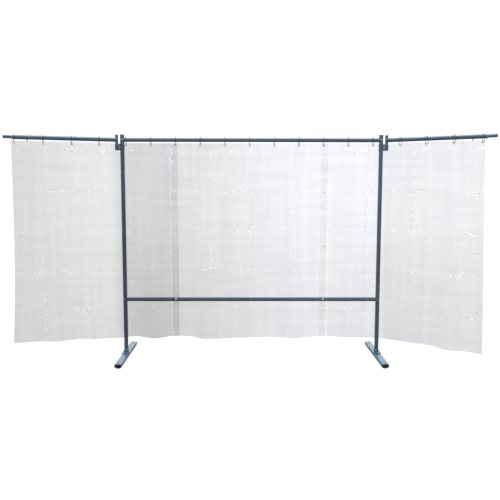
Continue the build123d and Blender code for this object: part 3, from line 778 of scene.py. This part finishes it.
outer_films = {}
for side, film in (("left", left_film), ("right", right_film)):
    line = lines[side]
    sheet = film_mesh(
        f"{side}_film",
        line.width,
        outer_eyelets[side],
        lambda across, drop, side=side: outer_point(side, across, drop),
    )
    sheet.data.materials.append(film)
    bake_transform(sheet)
    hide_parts(f"{side}_sheet_on_frame", f"{side}_sheet_on_arm")
    outer_films[side] = sheet

# %% [markdown]
# ## Turned and pressed pieces
#
# Eyelets, studs and rivets are all round about one axis, so a lathe function makes them: it
# turns an outline, given as radius and height, about an axis and closes it.

# %% Lathe
def lathe(mesh, outline, at, axis, steps=32, closed=False):
    """Turns an outline of (radius, height) about an axis and adds it to a mesh."""
    turn = axis.normalized().to_track_quat("Z", "Y").to_matrix()
    rings = []
    for radius, height in outline:
        if radius == 0:
            rings.append([mesh.verts.new(at + turn @ Vector((0, 0, height)))])
            continue
        ring = []
        for i in range(steps):
            angle = 2 * pi * i / steps
            corner = Vector((radius * cos(angle), radius * sin(angle), height))
            ring.append(mesh.verts.new(at + turn @ corner))
        rings.append(ring)
    pairs = list(zip(rings, rings[1:] + rings[:1])) if closed else list(zip(rings, rings[1:]))
    for a, b in pairs:
        for i in range(steps):
            j = (i + 1) % steps
            corners = [a[i % len(a)], a[j % len(a)], b[j % len(b)], b[i % len(b)]]
            mesh.faces.new(list(dict.fromkeys(corners)))


def finish_piece(mesh, name, material, body):
    """Makes an object of a mesh, and lets it ride on its body."""
    bmesh.ops.recalc_face_normals(mesh, faces=mesh.faces)
    data = bpy.data.meshes.new(name)
    mesh.to_mesh(data)
    mesh.free()
    data.shade_smooth()
    data.materials.append(material)
    piece = bpy.data.objects.new(name, data)
    bpy.context.scene.collection.objects.link(piece)
    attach(piece, body)
    return piece


# %% [markdown]
# ## Eyelets
#
# An eyelet is a pressed tube of nickelled brass. One end has a wide rounded flange, and the
# other is rolled over a washer to grip the film between them. The outline runs up the bore,
# over the front roll, back along the film, and round the washer behind.

# %% Eyelets
BORE_R = 6 * MM
FLANGE_R = 11 * MM
EYELET_OUTLINE = [
    (BORE_R, -1.3 * MM), (BORE_R, 0.9 * MM), (6.6 * MM, 1.5 * MM), (7.8 * MM, 1.7 * MM),
    (9.6 * MM, 1.3 * MM), (FLANGE_R, 0.4 * MM), (10.8 * MM, 0.26 * MM), (HOLE_R - 0.1 * MM, 0.26 * MM),
    (HOLE_R - 0.1 * MM, -0.26 * MM), (10.2 * MM, -0.26 * MM), (10.4 * MM, -0.7 * MM), (8.4 * MM, -1.2 * MM),
    (7.2 * MM, -1.6 * MM), (6.4 * MM, -1.6 * MM),
]


def eyelet(name, at, facing, body):
    """An eyelet at a place in the film, with its flange to the front."""
    mesh = bmesh.new()
    lathe(mesh, EYELET_OUTLINE, at, facing, closed=True)
    return finish_piece(mesh, name, nickel, body)


eyelet_drop = SHEET_TOP - EYELET_Z
eyelets = {"middle": [], "left": [], "right": []}
for number, x in enumerate(middle_eyelets, 1):
    at = middle_point(x - MIDDLE_LEFT, eyelet_drop)
    eyelets["middle"].append(eyelet(f"middle_eyelet_{number}", at, Vector((0, -1, 0)), "frame"))
for side, line in lines.items():
    for number, across in enumerate(outer_eyelets[side], 1):
        at = outer_point(side, across, eyelet_drop)
        body = "frame" if across < line.straight else f"{side}_arm"
        facing = line.at(across)[1]
        eyelets[side].append(eyelet(f"{side}_eyelet_{number}", at, facing, body))
    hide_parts(f"{side}_arm_eyelets")
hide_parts("frame_eyelets")
print("eyelets", {sheet: len(made) for sheet, made in eyelets.items()})

# %% [markdown]
# ## Snap rings
#
# The sheets hang on split rings like those of a ring binder: two half hoops of wire, joined by
# a riveted lap on one side, that snap shut on the other. A plain torus would do from afar. Here
# the wire is swept round the hoop with a section that flattens at the lap, swells at the snap
# and is nicked where the halves meet, and a small rivet goes through the lap.

# %% Rings
RING_R = 38 * MM
WIRE_R = 2 * MM
RING_STEPS, WIRE_SIDES = 80, 12
LAP_AT, SNAP_AT = radians(200), radians(20)
RIVET_OUTLINE = [
    (0, -2.7 * MM), (1.8 * MM, -2.4 * MM), (2.2 * MM, -1.7 * MM), (1.2 * MM, -1.6 * MM), (1.2 * MM, 1.6 * MM),
    (2.2 * MM, 1.7 * MM), (1.8 * MM, 2.4 * MM), (0, 2.7 * MM),
]


def wire_section(angle):
    """Half sizes of the wire across and through the hoop at an angle round it."""
    lap = exp(-((angle - LAP_AT) / radians(5)) ** 2)
    snap = exp(-((angle - SNAP_AT) / radians(7)) ** 2)
    nick = exp(-((angle - SNAP_AT) / radians(0.9)) ** 2)
    radial = WIRE_R * (1 + 0.75 * lap + 0.2 * snap - 0.45 * nick)
    axial = WIRE_R * (1 - 0.2 * lap + 0.2 * snap - 0.45 * nick)
    return radial, axial


def snap_ring(name, centre, along, front, body):
    """A split ring round a tube, with the tube's direction and the way that its front faces."""
    mesh = bmesh.new()
    up = Vector((0, 0, 1))
    coarse = [radians(360 / RING_STEPS * i) for i in range(RING_STEPS)]
    fine = [SNAP_AT + radians(d) for d in (-1.6, -0.8, 0, 0.8, 1.6)]
    angles = sorted([a for a in coarse if abs(a - SNAP_AT) > radians(2.5)] + fine)
    sections = []
    for angle in angles:
        outward = front * cos(angle) + up * sin(angle)
        radial, axial = wire_section(angle)
        sections.append([
            mesh.verts.new(
                centre + outward * (RING_R + radial * cos(t)) + along * axial * sin(t)
            )
            for t in [2 * pi * i / WIRE_SIDES for i in range(WIRE_SIDES)]
        ])
    for a, b in zip(sections, sections[1:] + sections[:1]):
        for i in range(WIRE_SIDES):
            j = (i + 1) % WIRE_SIDES
            mesh.faces.new((a[i], a[j], b[j], b[i]))
    rivet_at = centre + (front * cos(LAP_AT) + up * sin(LAP_AT)) * RING_R
    lathe(mesh, RIVET_OUTLINE, rivet_at, along, steps=14)
    return finish_piece(mesh, name, ring_wire, body)


ring_low, ring_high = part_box("frame_rings")
RING_Z = (ring_low.z + ring_high.z) / 2
RING_FRONT = -(ring_low.y + ring_high.y) / 2
for number, x in enumerate(frame_runs, 1):
    centre = Vector((x, -RING_FRONT, RING_Z))
    snap_ring(f"frame_ring_{number}", centre, FRAME_ALONG, Vector((0, -1, 0)), "frame")
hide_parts("frame_rings")
for side, line in lines.items():
    facing = line.at(line.width)[1]
    for number, run in enumerate(arm_runs[side], 1):
        centre = line.pivot + line.along * run + facing * RING_FRONT
        centre.z = RING_Z
        snap_ring(f"{side}_ring_{number}", centre, line.along, facing, f"{side}_arm")
    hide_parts(f"{side}_arm_rings")

# %% [markdown]
# ## Press studs
#
# White acetal press studs hold neighbouring sheets together where they overlap, and a row of
# them waits on each outer edge for the next screen. The front is a domed cap with a dimple, the
# back is a socket ring, and a shank joins them through the film.

# %% Studs
def stud_outline(gap):
    """Outline of a stud that grips so much film, from its socket to the middle of its cap."""
    return [
        (0, -gap - 1.0 * MM), (3.2 * MM, -gap - 1.2 * MM), (3.8 * MM, -gap - 2.5 * MM),
        (5.4 * MM, -gap - 2.5 * MM), (6.0 * MM, -gap - 1.9 * MM), (6.0 * MM, -gap - 0.4 * MM),
        (5.6 * MM, -gap), (2.5 * MM, -gap), (2.5 * MM, 0), (7.1 * MM, 0), (7.5 * MM, 0.5 * MM),
        (7.2 * MM, 1.6 * MM), (5.6 * MM, 2.6 * MM), (3.2 * MM, 3.0 * MM), (2.2 * MM, 2.5 * MM), (0, 2.3 * MM),
    ]


def press_stud(name, at, facing, gap, body):
    """A press stud whose cap sits on the film at a place."""
    mesh = bmesh.new()
    lathe(mesh, stud_outline(gap), at, facing, steps=24)
    return finish_piece(mesh, name, acetal, body)


STUD_DROPS = (0.44, 0.94, 1.44)
OVERLAP_STEP = abs(OUTER_Y - MIDDLE_Y)
stud_runs = runs_of("frame_studs", FRAME_START, FRAME_ALONG)
for side, line in lines.items():
    x = stud_runs[0] if line.out < 0 else stud_runs[-1]
    edge_across = line.across_of_run(runs_of(f"{side}_arm_studs", line.pivot, line.along)[0])
    for number, drop in enumerate(STUD_DROPS, 1):
        at = outer_point(side, line.across_of_x(x), drop)
        front = at + Vector((0, -1, 0)) * FILM_THICK
        grip = OVERLAP_STEP + 2 * FILM_THICK
        press_stud(f"{side}_overlap_stud_{number}", front, Vector((0, -1, 0)), grip, "frame")
    for number, drop in enumerate(STUD_DROPS, 1):
        facing = line.at(edge_across)[1]
        front = outer_point(side, edge_across, drop) + facing * FILM_THICK
        press_stud(f"{side}_edge_stud_{number}", front, facing, 2 * FILM_THICK, f"{side}_arm")
    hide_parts(f"{side}_arm_studs")
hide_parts("frame_studs")

# %% [markdown]
# ## A pass over the outer sheets
#
# Each outer sheet hangs on its rings. The loop below goes over the two sheets and leaves them as they are.

for side, sheet in outer_films.items():
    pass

# %% [markdown]
# ## Floor, light and camera
#
# A pale floor and an even white surround show the clear film best, since film is seen by what
# it takes away from a bright ground. A surround that is bright enough for the film would flood
# the steel, though, so the Light Path node gives each what it needs. The camera sees one white
# on floor and surround, so no horizon shows through the film, and a quarter of the floor's white
# is matt paint, which takes the soft shadow under the feet. The object is lit by a dimmer
# studio, with a grey floor, cool walls, and more light from the ceiling and from behind. A wide
# lamp overhead draws the line of light along the tubes, and two softboxes in front give the
# folds their glints.

# %% Floor
FLOOR_HALF = 40.0
PLAIN_SHARE = 0.75
floor_mesh = bmesh.new()
bmesh.ops.create_grid(floor_mesh, x_segments=2, y_segments=2, size=FLOOR_HALF)
floor_data = bpy.data.meshes.new("studio_floor")
floor_mesh.to_mesh(floor_data)
floor_mesh.free()
floor = bpy.data.objects.new("studio_floor", floor_data)
bpy.context.scene.collection.objects.link(floor)
floor_paint, tree, _ = new_material("white_studio_paint")
matt = add(tree, "BsdfDiffuse", {"Color": linear("#d7d4d2")})
level_white = add(tree, "Emission", {"Color": linear("#ffffff"), "Strength": SURROUND})
shown = add(tree, "MixShader", {0: PLAIN_SHARE}, {1: matt.outputs[0], 2: level_white.outputs[0]})
given = add(tree, "BsdfDiffuse", {"Color": linear("#7c7c7c")})
seen = add(tree, "LightPath").outputs["Is Camera Ray"]
shader = add(tree, "MixShader", links={0: seen, 1: given.outputs[0], 2: shown.outputs[0]})
add(tree, "OutputMaterial", links={"Surface": shader.outputs[0]})
floor_data.materials.append(floor_paint)
print("floor", 2 * FLOOR_HALF, "m across")

# %% [markdown]
# A single world colour would light every side of a tube the same and make it look flat. The
# world's own directions give the light a shape instead: Y picks out the wall behind, and a high
# power of Z keeps the ceiling's light to a patch straight overhead.

# %% Light
WALL_LIGHT, CEILING_LIGHT, BACK_LIGHT = 0.6, 5.0, 0.8
world = bpy.data.worlds.new("studio_surround")
bpy.context.scene.world = world
world.use_nodes = True
sky = world.node_tree
sky.nodes.clear()
towards = add(sky, "SeparateXYZ", links={"Vector": add(sky, "TexCoord").outputs["Generated"]}).outputs
behind = add(
    sky,
    "MapRange",
    {"From Min": 0.1, "From Max": 0.7, "To Min": WALL_LIGHT, "To Max": WALL_LIGHT + BACK_LIGHT},
    {"Value": towards["Y"]},
    interpolation_type="SMOOTHSTEP",
).outputs["Result"]
upward = add(sky, "Math", {1: 0.0}, {0: towards["Z"]}, operation="MAXIMUM").outputs[0]
steep = add(sky, "Math", {1: 8.0}, {0: upward}, operation="POWER").outputs[0]
strength = add(sky, "Math", {1: CEILING_LIGHT}, {0: steep, 2: behind}, operation="MULTIPLY_ADD").outputs[0]
hue = add(
    sky, "Mix", {6: linear("#d2e6fa"), 7: linear("#ffffff")}, {0: upward}, data_type="RGBA"
).outputs[2]
studio = add(sky, "Background", links={"Color": hue, "Strength": strength})
backdrop = add(sky, "Background", {"Color": linear("#ffffff"), "Strength": SURROUND})
seen = add(sky, "LightPath").outputs["Is Camera Ray"]
surround = add(sky, "MixShader", links={0: seen, 1: studio.outputs[0], 2: backdrop.outputs[0]})
add(sky, "OutputWorld", links={"Surface": surround.outputs[0]})


def softbox(name, at, aim, size, watts):
    """A flat lamp at a place, turned to another."""
    lamp = bpy.data.lights.new(name, "AREA")
    lamp.shape = "RECTANGLE"
    lamp.size, lamp.size_y = size
    lamp.energy = watts
    piece = bpy.data.objects.new(name, lamp)
    piece.location = at
    piece.rotation_euler = (Vector(aim) - Vector(at)).to_track_quat("-Z", "Y").to_euler()
    bpy.context.scene.collection.objects.link(piece)
    return piece


lamps = [
    softbox("overhead", at=(0.3, -0.5, 4.4), aim=(0, -0.1, 0), size=(5.0, 0.2), watts=26),
    softbox("front_left", at=(-2.4, -4.4, 3.8), aim=(-0.6, 0, 1.0), size=(0.4, 0.4), watts=15),
    softbox("front_right", at=(3.0, -3.8, 3.4), aim=(0.8, 0, 1.0), size=(0.4, 0.4), watts=15),
]
print("lamps", [lamp.name for lamp in lamps])

# %% [markdown]
# The camera stands at eye height, almost square to the middle sheet, as far back as a person
# would step to take in the whole screen, and looks slightly down.

# %% Camera
LENS_MM = 44.29
camera_data = bpy.data.cameras.new("camera")
camera_data.lens = LENS_MM
camera_data.sensor_width = 36
camera = bpy.data.objects.new("camera", camera_data)
camera.location = (-0.058, -5.655, 1.608)
TILT_DOWN, TURN_RIGHT, ROLL = radians(6.07), radians(0.43), radians(0.08)
level = Matrix.Rotation(-TURN_RIGHT, 3, "Z") @ Matrix.Rotation(pi / 2 - TILT_DOWN, 3, "X")
camera.rotation_euler = (level @ Matrix.Rotation(ROLL, 3, "Z")).to_euler()
bpy.context.scene.collection.objects.link(camera)
bpy.context.scene.camera = camera
bpy.context.scene.view_settings.view_transform = "Standard"
print("camera", LENS_MM, "mm, at", [round(v, 3) for v in camera.location])
